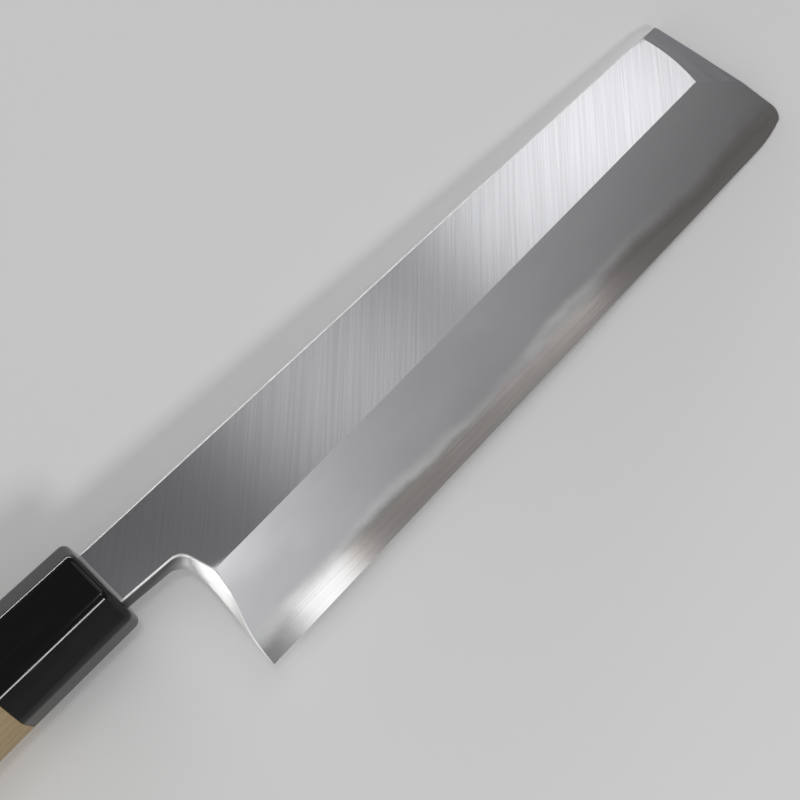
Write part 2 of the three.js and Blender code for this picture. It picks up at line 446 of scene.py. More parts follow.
def makeStation(back, front, rounding, mark=None):
    # the front's place is drawn at full thickness, so a lower wall ends on the way there
    height = blade["neckThickness"]
    for turn in range(meshing["fitTurns"]):
        spot = back.lerp(front, height / blade["neckThickness"])
        height = frontAt(spot.x, spot.y)
    return {
        "back": back.to_3d(),
        "front": Vector((spot.x, spot.y, height)),
        "rounding": rounding,
        "mark": mark,
    }


def bladeStations():
    # the outline anticlockwise from the neck: its place on the back and on the front, and its rounding
    stations = []
    ridgeY = bevelLineAt(blade["frontNotch"]["choil"])
    backLine = notchLine(blade["backNotch"], ridgeY)
    frontLine = notchLine(blade["frontNotch"], ridgeY)
    for back, front in zip(backLine, frontLine):
        mark = "ridgeStart" if abs(back.y - ridgeY) < meshing["sameSpot"] else None
        stations.append(makeStation(back, front, blade["choilRound"], mark))

    def add(x, y, rounding, mark=None):
        spot = Vector((x, y))
        stations.append(makeStation(spot, spot, rounding, mark))

    radius = blade["cornerRadius"]
    cornerX = tipEndAt(-blade["tipHeight"] + radius) - radius
    cornerY = edgeAt(cornerX) + radius - blade["edgeThickness"]
    edge = spaced(blade["backNotch"]["heel"], liftX, bladeSteps["edge"])
    for x in edge + spaced(liftX, cornerX, bladeSteps["edgeLift"]):
        add(x, edgeAt(x), 0)
    cornerEnd = math.atan2(blade["tipLean"], blade["tipHeight"])
    for angle in spaced(-math.pi / 2, cornerEnd, bladeSteps["corner"]):
        x = cornerX + radius * math.cos(angle)
        y = max(cornerY + radius * math.sin(angle), edgeAt(x))
        add(x, y, blade["tipRound"])

    endY = facetEndY()
    spineCorner = blade["tipCornerRound"]
    tipEnd = spaced(stations[-1]["back"].y, endY, bladeSteps["tipBelowFacet"])
    for y in tipEnd + spaced(endY, -spineCorner, bladeSteps["tipFacet"]):
        add(tipEndAt(y), y, blade["tipRound"], "facetEnd" if y == endY else None)
    cornerStart = Vector((tipEndAt(-spineCorner), -spineCorner))
    spineTip = Vector((blade["spineLength"], 0))
    spineEnd = Vector((blade["spineLength"] - spineCorner, 0))
    for spot in roundOver(cornerStart, spineTip, spineEnd, bladeSteps["spineCorner"])[1:]:
        add(spot.x, spot.y, blade["tipRound"])
    spine = spaced(spineEnd.x, facetSpineX, bladeSteps["facetSpine"])
    for x in spine + spaced(facetSpineX, -blade["neckInset"], bladeSteps["spine"]):
        add(x, 0, blade["spineRound"], "facetTop" if x == facetSpineX else None)
    return stations


def insetLoop(points, distances):
    # the loop drawn in sideways, on its left
    moved = []
    for i, point in enumerate(points):
        before = (point - points[i - 1]).to_2d().normalized()
        after = (points[(i + 1) % len(points)] - point).to_2d().normalized()
        across = Vector((-before.y - after.y, before.x + after.x)).normalized()
        mitre = max(blade["mitreLimit"], across.dot(Vector((-after.y, after.x))))
        moved.append(point.to_2d() + across * distances[i] / mitre)
    return moved


def planFaces(bm, loop, lines, spots, heightAt, regionAt):
    # fills a loop in plan view, with edges along the given lines, and lifts it to its height
    points = list(loop)
    edges = [(i, (i + 1) % len(loop)) for i in range(len(loop))]
    for line in lines:
        numbers = []
        for point in line:
            if point not in points:
                points.append(point)
            numbers.append(points.index(point))
        edges += list(zip(numbers, numbers[1:]))
    points += spots
    insideOnly = 1  # the kind of result wanted
    found = delaunay_2d_cdt(points, edges, [], insideOnly, meshing["planDistance"])
    foundPoints, foundFaces = found[0], found[2]
    verts = [bm.verts.new((p.x, p.y, heightAt(p.x, p.y))) for p in foundPoints]
    for corners in foundFaces:
        face = bm.faces.new([verts[i] for i in corners])
        middle = face.calc_center_median()
        face.material_index = regionAt(middle.x, middle.y)


def hollowDepthAt(x, y):
    # blunt oval in plan, parabola across
    along = min(1, abs(2 * (x - hollowStart) / (hollowEnd - hollowStart) - 1))
    fullness = (1 - along ** blade["hollowBluntness"]) ** (1 / blade["hollowBluntness"])
    low = edgeAt(x) + blade["hollowEdgeRim"]
    high = -blade["hollowSpineRim"]
    half = fullness * (high - low) / 2
    across = (y - (high + low) / 2) / half if half > 0 else 1
    return blade["hollowDepth"] * fullness**2 * max(0, 1 - across**2)


def hollowLines():
    # rings from the rim of the hollow inwards, one inside the other
    power = 2 / blade["hollowBluntness"]
    rings = []
    for size in blade["hollowRings"]:
        ring = []
        for i in range(bladeSteps["hollow"]):
            angle = 2 * math.pi * i / bladeSteps["hollow"]
            along = math.copysign(abs(math.cos(angle)) ** power, math.cos(angle)) * size
            up = math.copysign(abs(math.sin(angle)) ** power, math.sin(angle)) * size
            x = mix(hollowStart, hollowEnd, (1 + along) / 2)
            low = edgeAt(x) + blade["hollowEdgeRim"]
            ring.append(Vector((x, mix(low, -blade["hollowSpineRim"], (1 + up) / 2))))
        rings.append(ring + ring[:1])
    return rings


def wallColumns(stations):
    # points up the wall at each station, rounded over into the back and the front, and where they end there
    backs = [station["back"] for station in stations]
    fronts = [station["front"] for station in stations]
    walls = [front - back for front, back in zip(fronts, backs)]
    rounds = []
    for station, wall in zip(stations, walls):
        rounds.append(min(station["rounding"], blade["roundShare"] * wall.length) + blade["leastRound"])
    rounds[0] = rounds[-1] = blade["leastRound"]  # the neck's end, inside the ferrule
    insideBack = insetLoop(backs, rounds)
    insideFront = insetLoop(fronts, rounds)
    columns = []
    for i, wall in enumerate(walls):
        along = wall.normalized() * rounds[i]
        start = backs[i] + along
        end = fronts[i] - along
        span = end - start
        frontFace = Vector((*insideFront[i], frontAt(*insideFront[i])))
        column = roundOver(insideBack[i].to_3d(), backs[i], start, bladeSteps["rounding"])
        for heightShare, leanShare in blade["choilBelly"]:
            column.append(start + Vector((span.x * leanShare, span.y * leanShare, span.z * heightShare)))
        column += roundOver(end, fronts[i], frontFace, bladeSteps["rounding"])
        columns.append(column)
    return columns, insideBack, insideFront


def frontLines(marked):
    # the bevel line and the borders of the tip facet
    corner = Vector((facetBevelX, facetBevelY))
    ridge = [marked["ridgeStart"]]
    for x in spaced(ridge[0].x, facetBevelX, bladeSteps["bevelLine"])[:-1]:
        ridge.append(Vector((x, bevelLineAt(x))))
    ridge.append(corner)
    facetTop = [corner]
    for share in spaced(1, 0, bladeSteps["facetTop"])[:-1]:
        facetTop.append(Vector((facetStartAt(share), share * facetBevelY)))
    facetTop.append(marked["facetTop"])
    facetFoot = [corner]
    for y in spaced(facetBevelY, marked["facetEnd"].y, bladeSteps["facetFoot"])[:-1]:
        facetFoot.append(Vector((facetBevelXAt(y), y)))
    facetFoot.append(marked["facetEnd"])
    return [ridge, facetTop, facetFoot]


def bevelSpots(facetEnd):
    spots = []
    start = liftX - blade["bevelSpotsBefore"]
    end = tipEndAt(-blade["tipHeight"]) - blade["bevelSpotsShort"]
    for x in spaced(start, end, bladeSteps["bevelSpots"]):
        for share in blade["bevelSpotShares"]:
            y = mix(bevelLineAt(x), edgeAt(x), share)
            if x < facetBevelXAt(y) - blade["bevelSpotMargin"] or y < facetEnd.y:
                spots.append(Vector((x, y)))
    return spots


def barRing(x, height, thickness):
    halfY = height / 2
    halfZ = thickness / 2
    corners = ((-halfY, -halfZ), (halfY, -halfZ), (halfY, halfZ), (-halfY, halfZ))
    return [Vector((x, axisY + y, axisZ + z)) for y, z in corners]


def addTang(bm):
    # from the open end of the neck
    rim = openEdges(bm)
    before = set(bm.faces)
    start = barRing(-blade["neckInset"], blade["tangHeight"], blade["tangThickness"])
    end = barRing(-blade["tangLength"], blade["tangEndHeight"], blade["tangEndThickness"])
    rows = skin(bm, [start, end])
    bmesh.ops.triangle_fill(bm, edges=rim + loopEdges(bm, rows[0]), use_beauty=True)
    bm.faces.new(rows[1])
    for face in bm.faces:
        if face not in before:
            face.material_index = regionWall


def bladeForm():
    bm = bmesh.new()
    stations = bladeStations()
    columns, insideBack, insideFront = wallColumns(stations)
    skin(bm, columns, closed=False)
    for face in bm.faces:
        face.material_index = regionWall
    marked = {station["mark"]: spot for station, spot in zip(stations, insideFront)}
    spots = bevelSpots(marked["facetEnd"])
    planFaces(bm, insideFront, frontLines(marked), spots, frontAt, frontRegion)
    planFaces(bm, insideBack, hollowLines(), [], hollowDepthAt, lambda x, y: regionBack)
    bmesh.ops.remove_doubles(bm, verts=bm.verts, dist=meshing["mergeDistance"])

    # borders between the ground faces stay sharp, though they meet at shallow angles
    ground = (regionFlat, regionBevel, regionFacet)
    for edge in bm.edges:
        regions = {face.material_index for face in edge.link_faces}
        edge.smooth = len(regions) < 2 or not regions.issubset(ground)
    addTang(bm)
    return bm


def cut(bm, plane, keepOutside):
    spot, normal = plane
    geom = bm.verts[:] + bm.edges[:] + bm.faces[:]
    distance = meshing["cutDistance"]
    settings = {"dist": distance, "plane_co": spot, "plane_no": normal, "clear_outer": not keepOutside}
    bmesh.ops.bisect_plane(bm, geom=geom, **settings)


def closeRim(bm, rim):
    # a face over the cut, whose border stays sharp though it meets the bevel at a shallow angle
    bmesh.ops.edgeloop_fill(bm, edges=rim, mat_nr=regionWall)
    for edge in rim:
        edge.smooth = False


def parted(iron):
    # the hard-steel plate is what lies below the weld, from the plate's start to the tip
    weld = blade["plateThickness"]
    start = blade["plateStart"]
    planes = [((0, 0, weld), (0, 0, 1)), ((start, 0, 0), (-1, 0, 0))]
    steel = iron.copy()
    for plane in planes:
        cut(steel, plane, keepOutside=False)
        closeRim(steel, openEdges(steel))

    for plane in planes:
        cut(iron, plane, keepOutside=True)
    below = []
    for face in iron.faces:
        middle = face.calc_center_median()
        if middle.z < weld and middle.x > start:
            below.append(face)
    bmesh.ops.delete(iron, geom=below, context="FACES")

    def atWeld(vert):
        return abs(vert.co.z - weld) < meshing["sameSpot"]

    def atStart(vert):
        return abs(vert.co.x - start) < meshing["sameSpot"]

    # what is left open is a step: the weld's face and the face at the plate's start
    rim = openEdges(iron)
    rimVerts = {vert for edge in rim for vert in edge.verts}
    step = iron.edges.new([vert for vert in rimVerts if atWeld(vert) and atStart(vert)])
    weldRim = [edge for edge in rim if all(atWeld(vert) for vert in edge.verts)]
    startRim = [edge for edge in rim if edge not in weldRim]
    for edges in (weldRim, startRim):
        closeRim(iron, edges + [step])
    return iron, steel


# Finishes of the blade; scales of the patterns are per millimetre, depths of the bumps in metres
flatFinish = {
    "strokeAngle": 42,  # grinding strokes, in degrees from the blade's length towards the spine
    "strokes": {"scale": (0.03, 3.0, 0.1), "detail": 1},
    "strokeRange": (0.344, 0.656),  # from the darkest stroke to the brightest
    "bright": grey(0.615, 0, 0.04),
    "dark": grey(0.565, 0, 0.04),
    "roughLow": 0.225,
    "roughHigh": 0.24,
    "stretch": 0.55,  # how much the gloss is drawn out across the strokes
    "jointLine": (0.1, 0.7),  # unpolished line along the ferrule
    "jointColour": grey(0.62),
    "jointRough": 0.5,
    "bump": {"strength": 0.012, "depth": 0.00002},
}


def brushedFlat():
    material, tree, shader = newMaterial("brushedFlat", Metallic=1.0, Anisotropic=flatFinish["stretch"])
    place = knifePlace(tree)
    angle = math.radians(flatFinish["strokeAngle"])
    strokes = pattern(tree, place, turn=-angle, **flatFinish["strokes"])
    shade = spread(tree, strokes, *flatFinish["strokeRange"], 0, 1)
    colour = blendColours(tree, shade, flatFinish["dark"], flatFinish["bright"])
    atJoint = spread(tree, splitPlace(tree, place)[0], *flatFinish["jointLine"], 1, 0, "SMOOTHSTEP")
    colour = blendColours(tree, atJoint, colour, flatFinish["jointColour"])
    rough = spread(tree, strokes, *noiseRange, flatFinish["roughHigh"], flatFinish["roughLow"])
    rough = blendValues(tree, atJoint, rough, flatFinish["jointRough"])
    dress(tree, shader, colour, rough, strokes, flatFinish["bump"])
    across = (-math.sin(angle), math.cos(angle), 0)
    settings = {"vector_type": "VECTOR", "convert_from": "OBJECT", "convert_to": "WORLD"}
    tangent = addNode(tree, "ShaderNodeVectorTransform", {"Vector": across}, **settings)
    tree.links.new(tangent.outputs[0], shader.inputs["Tangent"])
    return material


bevelFinish = {
    "haze": grey(0.51, 0, 0.03),
    "hazeDark": grey(0.42, 0, 0.03),
    "hazeRough": (0.39, 0.35),
    "clouds": {"scale": (0.05, 0.11, 0.1), "detail": 5, "rough": 0.6},
    "grains": {"scale": (6, 6, 6), "detail": 2},
    "grainColour": grey(0.57),
    "grainShare": 0.18,
    "strip": grey(0.77, 0.065, -0.04),  # the polished strip along the edge
    "stripDark": grey(0.54, 0.065, -0.04),
    "heelStrip": grey(0.76, 0.005, 0),  # not so warm
    "heelDark": grey(0.61, 0.005, 0),
    "heelEnd": (36, 46),
    "stripRough": (0.15, 0.13),
    "stripFade": 4.5,  # from dark at the border to bright
    "stripShades": (0.18, 0.75),
    "streaks": {"scale": (0.03, 2.2, 1), "rough": 0.6},
    "streakContrast": 1.7,
    "wobble": {"scale": (0.11, 0.02, 0.02)},
    "borderWobble": 2.2,
    "veil": grey(0.78),  # the lighter band along the strip's border
    "veilSoftness": 1.2,
    "lumps": {"scale": (0.12, 0.3, 0.2), "turn": 0.15, "detail": 4},
    "lumpRange": (0.35, 0.6),
    "lumpLeast": 0.65,
    "bump": {"strength": 0.03, "depth": 0.00002},
    # curves: share of the spine's length, then a share, or a width or reach from the edge in curveUnits
    "curveUnit": 10,
    "stripReach": [
        (0.07, 0.54), (0.19, 0.64), (0.27, 0.61), (0.37, 0.53), (0.5, 0.54), (0.6, 0.56),
        (0.71, 0.69), (0.83, 0.57), (0.93, 0.68), (1, 0.64),
    ],
    "borderSoftness": [
        (0.07, 0.34), (0.16, 0.24), (0.3, 0.10), (0.6, 0.11), (0.75, 0.22), (1, 0.4),
    ],
    "veilWidth": [
        (0.2, 0.12), (0.34, 0.26), (0.43, 0.15), (0.57, 0.32), (0.68, 0.2), (0.95, 0.15),
    ],
    "veilStrength": [
        (0.18, 0.1), (0.34, 0.42), (0.46, 0.3), (0.57, 0.9), (0.66, 0.4), (0.78, 0.25), (1, 0.1),
    ],
}


def fromEdge(tree, x, y):
    rise = (blade["heelHeight"] - blade["tipHeight"]) / blade["spineLength"]
    height = calc(tree, "ADD", y, blade["heelHeight"])
    return calc(tree, "SUBTRACT", height, calc(tree, "MULTIPLY", x, rise))


def stripBorder(tree, place, along, height):
    # how far the strip reaches from the edge, what lies in it, and the veil above it
    unit = bevelFinish["curveUnit"]
    wobble = calc(tree, "SUBTRACT", pattern(tree, place, **bevelFinish["wobble"]), noiseMiddle)
    wobble = calc(tree, "MULTIPLY", wobble, bevelFinish["borderWobble"])
    reach = calc(tree, "MULTIPLY_ADD", curveOf(tree, along, bevelFinish["stripReach"]), unit, wobble)
    soft = calc(tree, "MULTIPLY", curveOf(tree, along, bevelFinish["borderSoftness"]), unit)
    inStrip = fadeAt(tree, height, reach, soft)
    veilEnd = calc(tree, "MULTIPLY_ADD", curveOf(tree, along, bevelFinish["veilWidth"]), unit, reach)
    veil = calc(tree, "SUBTRACT", fadeAt(tree, height, veilEnd, bevelFinish["veilSoftness"]), inStrip)
    veil = calc(tree, "MULTIPLY", veil, curveOf(tree, along, bevelFinish["veilStrength"]))
    lumps = pattern(tree, place, **bevelFinish["lumps"])
    lumps = spread(tree, lumps, *bevelFinish["lumpRange"], bevelFinish["lumpLeast"], 1)
    return reach, inStrip, calc(tree, "MULTIPLY", veil, lumps)


def hazyBevel():
    material, tree, shader = newMaterial("hazyBevel", Metallic=1.0)
    place = knifePlace(tree)
    parts = splitPlace(tree, place)
    x, y = parts[0], parts[1]
    along = calc(tree, "DIVIDE", x, blade["spineLength"])
    height = fromEdge(tree, x, y)
    reach, inStrip, veil = stripBorder(tree, place, along, height)
    clouds = pattern(tree, place, **bevelFinish["clouds"])
    streaks = pattern(tree, place, **bevelFinish["streaks"])
    grains = pattern(tree, place, **bevelFinish["grains"])
    haze = blendColours(tree, clouds, bevelFinish["hazeDark"], bevelFinish["haze"])
    grainShare = calc(tree, "MULTIPLY", grains, bevelFinish["grainShare"])
    haze = blendColours(tree, grainShare, haze, bevelFinish["grainColour"])
    depth = calc(tree, "SUBTRACT", reach, height)
    shade = spread(tree, depth, 0, bevelFinish["stripFade"], *bevelFinish["stripShades"])
    streakShade = calc(tree, "SUBTRACT", streaks, noiseMiddle)
    shade = calc(tree, "MULTIPLY_ADD", streakShade, bevelFinish["streakContrast"], shade)
    strip = blendColours(tree, shade, bevelFinish["stripDark"], bevelFinish["strip"])
    heelStrip = blendColours(tree, shade, bevelFinish["heelDark"], bevelFinish["heelStrip"])
    atHeel = spread(tree, x, *bevelFinish["heelEnd"], 1, 0, "SMOOTHSTEP")
    strip = blendColours(tree, atHeel, strip, heelStrip)
    colour = blendColours(tree, inStrip, haze, strip)
    colour = blendColours(tree, veil, colour, bevelFinish["veil"])
    # each tiny grain is either hazy or polished, with more polished ones towards the strip
    grit = addNode(tree, "ShaderNodeTexWhiteNoise", {"Vector": place}).outputs["Value"]
    polished = calc(tree, "LESS_THAN", grit, inStrip)
    hazeRough = spread(tree, clouds, *noiseRange, *bevelFinish["hazeRough"])
    stripRough = spread(tree, streaks, *noiseRange, *bevelFinish["stripRough"])
    rough = blendValues(tree, polished, hazeRough, stripRough)
    dress(tree, shader, colour, rough, blendValues(tree, inStrip, grains, streaks), bevelFinish["bump"])
    return material


# What the satin faces share
satin = {
    "strokes": {"detail": 4, "rough": 0.6},
    "clouds": {"scale": (0.12, 0.12, 0.12)},
    "strokeShare": 0.7,  # the rest of the shading comes from the clouds
    "roughChange": 0.04,
    "bump": {"strength": 0.08, "depth": 0.00003},
}
facetFinish = {
    "strokeScale": (0.9, 0.05, 0.1),
    "dark": grey(0.55, 0, 0.06),
    "bright": grey(0.59, 0, 0.06),
    "rough": 0.32,
}
wallFinish = {
    "strokeScale": (0.08, 0.3, 3.0),
    "dark": grey(0.75),
    "bright": grey(0.86),
    "rough": 0.46,
    # painted shade: a dark colour on the underside of the neck and the top of the notch, below the rounded
    # edge
    "paintedShade": {
        "colour": grey(0.13),
        "untilX": (20, 25),
        "belowY": (-10, -12),
        "aboveY": (-18.9, -15.3),
        "underZ": (3.7, 4.05),
    },
}
backFinish = {
    "strokeScale": (0.04, 1.6, 1),
    "dark": grey(0.54),
    "bright": grey(0.66),
    "rough": 0.28,
}


# how much painted shade goes on, by place: the neck's underside and the notch top below the rounded edge
def paintedShadeShare(tree, place, paintedShade):
    x, y, z = splitPlace(tree, place)
    share = spread(tree, x, *paintedShade["untilX"], 1, 0)
    share = calc(tree, "MULTIPLY", share, spread(tree, y, *paintedShade["aboveY"], 0, 1))
    share = calc(tree, "MULTIPLY", share, spread(tree, y, *paintedShade["belowY"], 0, 1))
    return calc(tree, "MULTIPLY", share, spread(tree, z, *paintedShade["underZ"], 1, 0))


def satinSteel(name, finish):
    material, tree, shader = newMaterial(name, Metallic=1.0)
    place = knifePlace(tree)
    strokes = pattern(tree, place, finish["strokeScale"], **satin["strokes"])
    clouds = pattern(tree, place, **satin["clouds"])
    shade = blendValues(tree, satin["strokeShare"], clouds, strokes)
    colour = blendColours(tree, shade, finish["dark"], finish["bright"])
    # painted shade, laid over the steel's own colour
    if "paintedShade" in finish:
        share = paintedShadeShare(tree, place, finish["paintedShade"])
        colour = blendColours(tree, share, colour, finish["paintedShade"]["colour"])
    change = satin["roughChange"]
    rough = spread(tree, strokes, *noiseRange, finish["rough"] + change, finish["rough"] - change)
    dress(tree, shader, colour, rough, strokes, satin["bump"])
    return material


# in the order of the regions
bladeMaterials = [
    brushedFlat(),
    hazyBevel(),
    satinSteel("thinnedTip", facetFinish),
    satinSteel("polishedWall", wallFinish),
    satinSteel("groundBack", backFinish),
]
ironForm, steelForm = parted(bladeForm())
makePiece(ironForm, "bladeIron", "blade_body", bladeMaterials)
makePiece(steelForm, "bladeSteel", "edge_steel", bladeMaterials)


# Handle: one octagon grows from the ferrule's front to the butt
handle = {
    "length": 142.0,
    "frontHeight": 23.1,
    "frontWidth": 20.4,
    "buttHeight": 25.7,
    "buttWidth": 22.7,
    "sideFacet": 11.6,
    "topFacet": 8.3,
    "buttRound": 1.2,
    "buttSteps": 8,
    "edgeRound": 0.7,
    "edgeChange": 12.0,  # behind the ferrule, until its rounder edges have become the wood's
    "jointRound": 0.08,
    "glueLine": 0.03,
    "tenonRadius": 7.5,
    "tenonGap": 0.3,  # behind the ferrule's front wall
    "slotGap": 0.3,
    "cornerSteps": 8,
}
ferrule = {
    "length": 30.0,
    "rim": 1.8,
    "rimSteps": 12,
    "wall": 6.0,
    "edgeRound": 1.3,
    "slotGap": 0.12,
    "boreGap": 0.3,
    "boreSides": 48,
}


def octagon(x, inset, rounding):
    share = -x / handle["length"]
    tall = mix(1, handle["buttHeight"] / handle["frontHeight"], share)
    wide = mix(1, handle["buttWidth"] / handle["frontWidth"], share)
    facetInset = inset * math.tan(math.pi / 8)
    halfHeight = handle["frontHeight"] * tall / 2 - inset
    halfSide = handle["sideFacet"] * tall / 2 - facetInset
    halfWidth = handle["frontWidth"] * wide / 2 - inset
    halfTop = handle["topFacet"] * wide / 2 - facetInset
    quarter = [(halfHeight, halfTop), (halfSide, halfWidth)]
    corners = quarter + [(-y, z) for y, z in reversed(quarter)]
    corners += [(-y, -z) for y, z in quarter] + [(y, -z) for y, z in reversed(quarter)]
    corners = [Vector((x, axisY + y, axisZ + z)) for y, z in corners]
    ring = []
    for i, corner in enumerate(corners):
        before = corner + (corners[i - 1] - corner).normalized() * rounding
        after = corner + (corners[(i + 1) % len(corners)] - corner).normalized() * rounding
        ring += roundOver(before, corner, after, handle["cornerSteps"])
    return ring


def quarterTurn(steps, radius):
    # how far a rounded end has still to go, and how far it is drawn in, on each step
    turns = [math.pi / 2 * i / steps for i in range(steps + 1)]
    return [(radius * (1 - math.sin(turn)), radius * (1 - math.cos(turn))) for turn in turns]


def roundRing(x, radius):
    ring = []
    for i in range(ferrule["boreSides"]):
        angle = 2 * math.pi * i / ferrule["boreSides"]
        ring.append(Vector((x, axisY + radius * math.cos(angle), axisZ + radius * math.sin(angle))))
    return ring


def neckSlotRing(x):
    gap = ferrule["slotGap"]
    low = -blade["backNotch"]["neck"] - gap
    top = thicknessAt(-blade["neckInset"]) + gap
    return [Vector((x, y, z)) for y, z in ((low, -gap), (gap, -gap), (gap, top), (low, top))]


def ferruleForm():
    bm = bmesh.new()
    rear = -ferrule["length"]
    small = handle["jointRound"]
    edgeRound = ferrule["edgeRound"]
    rings = [octagon(rear, small, edgeRound), octagon(rear + small, 0, edgeRound)]
    for short, inset in quarterTurn(ferrule["rimSteps"], ferrule["rim"]):
        rings.append(octagon(-short, inset, edgeRound))
    outside = skin(bm, rings)
    slot = skin(bm, [neckSlotRing(0), neckSlotRing(-ferrule["wall"])])
    boreRadius = handle["tenonRadius"] + ferrule["boreGap"]
    bore = skin(bm, [roundRing(-ferrule["wall"], boreRadius), roundRing(rear, boreRadius)])
    fillBetween(bm, outside[-1], slot[0])
    fillBetween(bm, bore[0], slot[1])
    fillBetween(bm, outside[0], bore[1])
    return bm


def tangSlotRing(x, height, thickness):
    gaps = 2 * handle["slotGap"]
    return barRing(x, height + gaps, thickness + gaps)


def handleForm():
    bm = bmesh.new()
    front = -ferrule["length"] - handle["glueLine"]
    small = handle["jointRound"]
    rings = [octagon(front, small, ferrule["edgeRound"]), octagon(front - small, 0, ferrule["edgeRound"])]
    rings.append(octagon(front - handle["edgeChange"], 0, handle["edgeRound"]))
    for short, inset in quarterTurn(handle["buttSteps"], handle["buttRound"]):
        rings.append(octagon(-handle["length"] + short, inset, handle["edgeRound"]))
    outside = skin(bm, rings)
    bm.faces.new(outside[-1])
    tenonEnd = -ferrule["wall"] - handle["tenonGap"]
    tenon = skin(bm, [roundRing(front, handle["tenonRadius"]), roundRing(tenonEnd, handle["tenonRadius"])])
    fillBetween(bm, outside[0], tenon[0])
    slotEnd = -blade["tangLength"] - handle["slotGap"]
    slotRings = [
        tangSlotRing(tenonEnd, blade["tangHeight"], blade["tangThickness"]),
        tangSlotRing(slotEnd, blade["tangEndHeight"], blade["tangEndThickness"]),
    ]
    slot = skin(bm, slotRings)
    fillBetween(bm, tenon[1], slot[0])
    bm.faces.new(slot[1])
    return bm


hornFinish = {
    "black": (0.006, 0.0055, 0.0055, 1),
    "brown": (0.012, 0.010, 0.009, 1),
    "streaks": {"scale": (0.05, 0.4, 0.4), "detail": 6, "rough": 0.62},
    "streakRange": (0.48, 0.78),
    "gloss": 0.4,
    "smudges": {"scale": (0.12, 0.22, 0.2), "turn": 0.5, "detail": 4, "rough": 0.55},
    "rough": (0.10, 0.17),
    "fibres": {"scale": (0.05, 1.2, 1.2), "detail": 2},
    "bump": {"strength": 0.03, "depth": 0.00003},
}


def blackHorn():
    material, tree, shader = newMaterial("blackHorn", **{"Specular IOR Level": hornFinish["gloss"]})
    place = knifePlace(tree)
    streaks = pattern(tree, place, **hornFinish["streaks"])
    shade = spread(tree, streaks, *hornFinish["streakRange"], 0, 1, "SMOOTHSTEP")
    colour = blendColours(tree, shade, hornFinish["black"], hornFinish["brown"])
    smudges = pattern(tree, place, **hornFinish["smudges"])
    rough = spread(tree, smudges, *noiseRange, *hornFinish["rough"])
    fibres = pattern(tree, place, **hornFinish["fibres"])
    dress(tree, shader, colour, rough, fibres, hornFinish["bump"])
    return material


woodFinish = {
    "pale": (0.37, 0.274, 0.144, 1),
    "dark": (0.287, 0.208, 0.105, 1),
    "pore": (0.186, 0.13, 0.066, 1),
    "heart": (-34, -12),  # the tree's middle, y and z on the knife
    "ringTurn": 3.1,  # radians of the ring pattern for each millimetre
    "ringSway": 26,
    "sway": {"scale": (0.012, 0.05, 0.05), "detail": 2},
    "ringSharpness": 2.2,
    "ringShare": 0.35,
    "fibres": {"scale": (0.06, 2.4, 2.4), "detail": 5, "rough": 0.65},
    "shadeRange": (0.3, 1.0),
    "pores": {"scale": (0.35, 6.5, 6.5), "detail": 2, "rough": 0.4},
    "poreRange": (0.66, 0.76),
    "poreShare": 0.55,
    "poreDepth": 0.6,
    "rough": (0.52, 0.66),
    "bump": {"strength": 0.25, "depth": 0.0001},
}


def treeRings(tree, place):
    # 0 between the rings and 1 on them
    parts = splitPlace(tree, place)
    sway = pattern(tree, place, **woodFinish["sway"])
    heartY, heartZ = woodFinish["heart"]
    y = calc(tree, "SUBTRACT", parts[1], heartY)
    z = calc(tree, "SUBTRACT", parts[2], heartZ)
    radius = calc(tree, "SQRT", calc(tree, "MULTIPLY_ADD", y, y, calc(tree, "MULTIPLY", z, z)))
    turn = calc(tree, "MULTIPLY", radius, woodFinish["ringTurn"])
    turn = calc(tree, "MULTIPLY_ADD", sway, woodFinish["ringSway"], turn)
    waves = spread(tree, calc(tree, "SINE", turn), -1, 1, 0, 1)
    return calc(tree, "POWER", waves, woodFinish["ringSharpness"])


def magnoliaWood():
    material, tree, shader = newMaterial("magnoliaWood")
    place = knifePlace(tree)
    fibres = pattern(tree, place, **woodFinish["fibres"])
    shade = calc(tree, "MULTIPLY_ADD", treeRings(tree, place), woodFinish["ringShare"], fibres)
    shade = spread(tree, shade, *woodFinish["shadeRange"], 0, 1)
    colour = blendColours(tree, shade, woodFinish["pale"], woodFinish["dark"])
    pores = pattern(tree, place, **woodFinish["pores"])
    pores = spread(tree, pores, *woodFinish["poreRange"], 0, woodFinish["poreShare"], "SMOOTHSTEP")
    colour = blendColours(tree, pores, colour, woodFinish["pore"])
    rough = spread(tree, fibres, *noiseRange, *woodFinish["rough"])
    height = calc(tree, "SUBTRACT", fibres, calc(tree, "MULTIPLY", pores, woodFinish["poreDepth"]))
    dress(tree, shader, colour, rough, height, woodFinish["bump"])
    return material


makePiece(ferruleForm(), "hornFerrule", "horn_ferrule", [blackHorn()])
makePiece(handleForm(), "woodHandle", "wood_handle", [magnoliaWood()])


# Camera, fitted to the photograph's view
camera = {
    "location": (-0.016554, -0.062426, 0.225519),
    "turn": (20.6868, 0.6058, -46.9412),  # degrees
    "lens": 44.43,
    "sensorWidth": 36,
    "near": 0.01,
}
cameraData = bpy.data.cameras.new("photoCamera")
cameraData.lens = camera["lens"]
cameraData.sensor_width = camera["sensorWidth"]
cameraData.clip_start = camera["near"]
cameraObject = bpy.data.objects.new("photoCamera", cameraData)
cameraObject.location = camera["location"]
cameraObject.rotation_euler = [math.radians(angle) for angle in camera["turn"]]
bpy.context.scene.collection.objects.link(cameraObject)
bpy.context.scene.camera = cameraObject
print("camera set")


